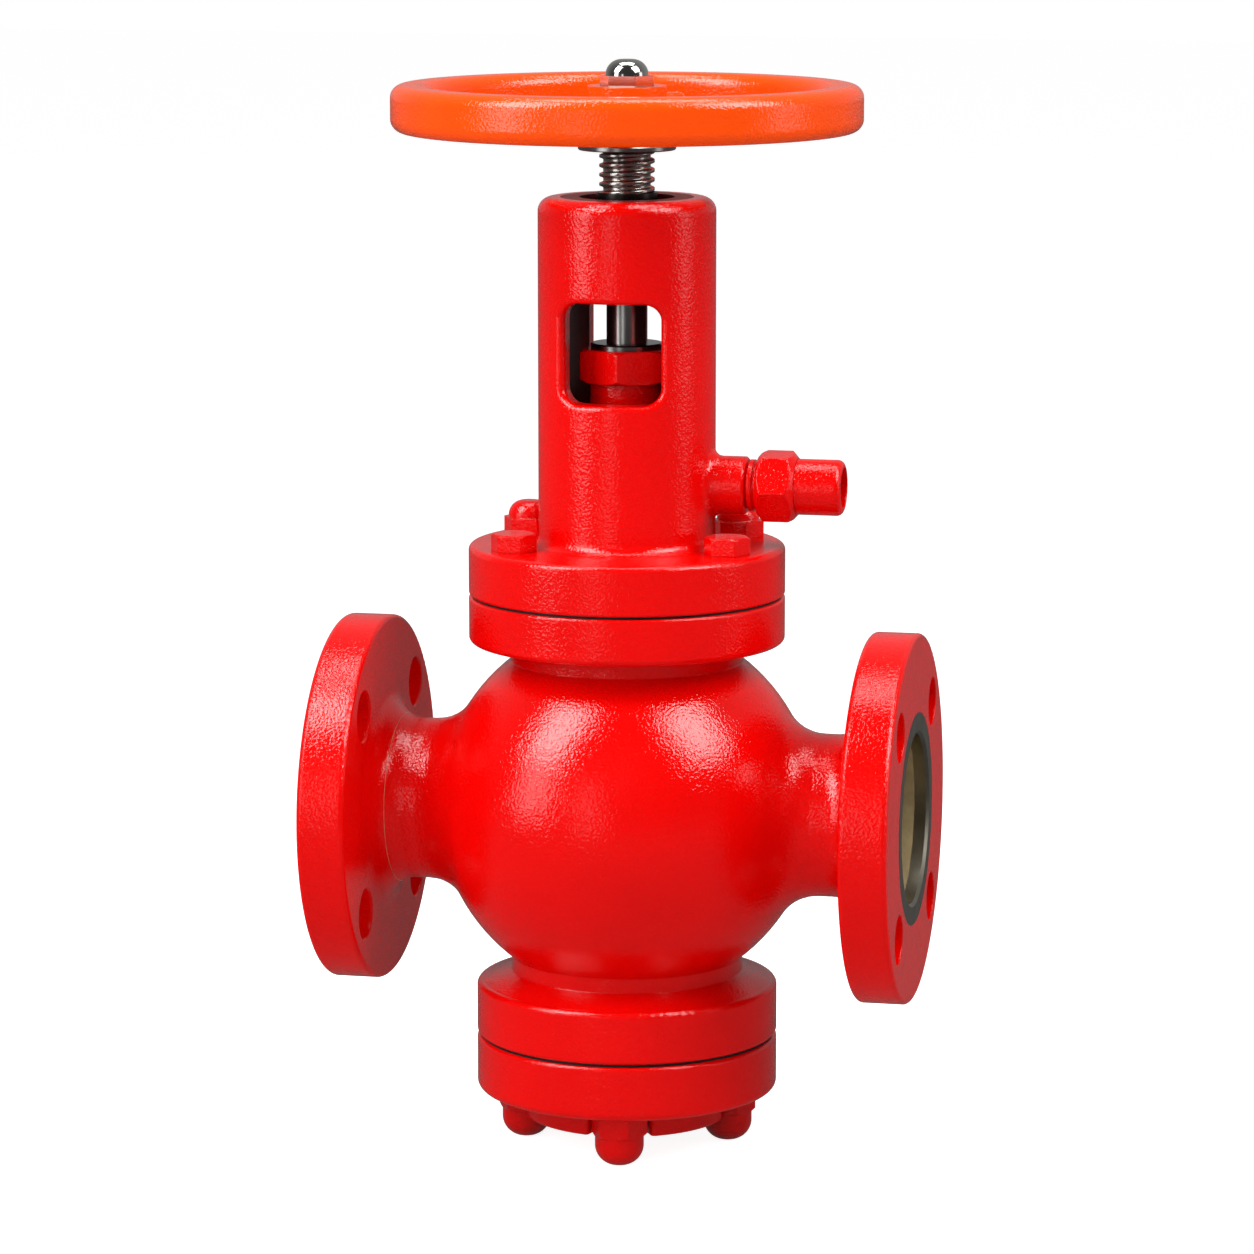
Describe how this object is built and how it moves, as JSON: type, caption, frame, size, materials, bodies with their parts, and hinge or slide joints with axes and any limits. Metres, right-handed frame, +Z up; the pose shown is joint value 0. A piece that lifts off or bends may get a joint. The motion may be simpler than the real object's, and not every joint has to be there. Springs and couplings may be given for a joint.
{
  "type": "sleeve blowdown valve",
  "caption": "Flanged sleeve blowdown valve with a rising handwheel, windowed yoke, bolted bottom cover and a leak-off union.",
  "frame": {"origin": "on the stem's axis, level with the tips of the four cap nuts it stands on", "axes": "+X along the pipe towards the outlet and the side union, +Z up the stem"},
  "size_m": [0.318, 0.252, 0.5905],
  "materials": {
    "red_paint": "gloss enamel over cast and machined steel",
    "orange_paint": "gloss enamel over cast iron",
    "face_steel": "turned",
    "hard_steel": "ground",
    "stem_steel": "polished",
    "dark_steel": "oiled",
    "nut_bronze": "turned",
    "bright_chrome": "polished",
    "gasket": "graphite sheet"
  },
  "bodies": {
    "housing": {"bonnet_bolt_front_left": "red_paint", "bonnet_bolt_front_right": "red_paint", "bonnet_cap_nut_rear_left": "red_paint", "bonnet_cap_nut_rear_right": "red_paint", "bonnet_gasket": "gasket", "bonnet_stud_rear_left": "stem_steel", "bonnet_stud_rear_right": "stem_steel", "bottom_cover": "red_paint", "cover_cap_nut_back": "red_paint", "cover_cap_nut_front": "red_paint", "cover_cap_nut_left": "red_paint", "cover_cap_nut_right": "red_paint", "cover_gasket": "gasket", "cover_stud_back": "stem_steel", "cover_stud_front": "stem_steel", "cover_stud_left": "stem_steel", "cover_stud_right": "stem_steel", "gland_follower": "dark_steel", "gland_nut": "red_paint", "inlet_face_ring": "face_steel", "lantern_ring": "hard_steel", "leakoff_adapter": "red_paint", "leakoff_nipple": "red_paint", "leakoff_nut": "red_paint", "outlet_face_ring": "face_steel", "packing": "gasket", "stem_nut": "nut_bronze", "stuffing_box": "red_paint", "valve_body": "red_paint", "valve_sleeve": "hard_steel", "yoke": "red_paint"},
    "plug": {"valve_plug": "hard_steel", "plug_retainer": "hard_steel"},
    "spindle": {"stem": "stem_steel", "handwheel": "orange_paint", "wheel_washer": "stem_steel", "wheel_cap_nut": "bright_chrome"}
  },
  "joints": [
    {"name": "plug_lift", "type": "slide", "parent": "housing", "child": "plug", "axis": [0, 0, 1], "range_m": [0, 0.02]},
    {"name": "wheel_turn", "type": "hinge", "parent": "plug", "child": "spindle", "pos_m": [0, 0, 0.55], "axis": [0, 0, 1], "range_deg": [0, 1440]}
  ],
  "couplings": [
    {"joint": "plug_lift", "follows": "wheel_turn", "m_per_rad": 0.00079577}
  ]
}
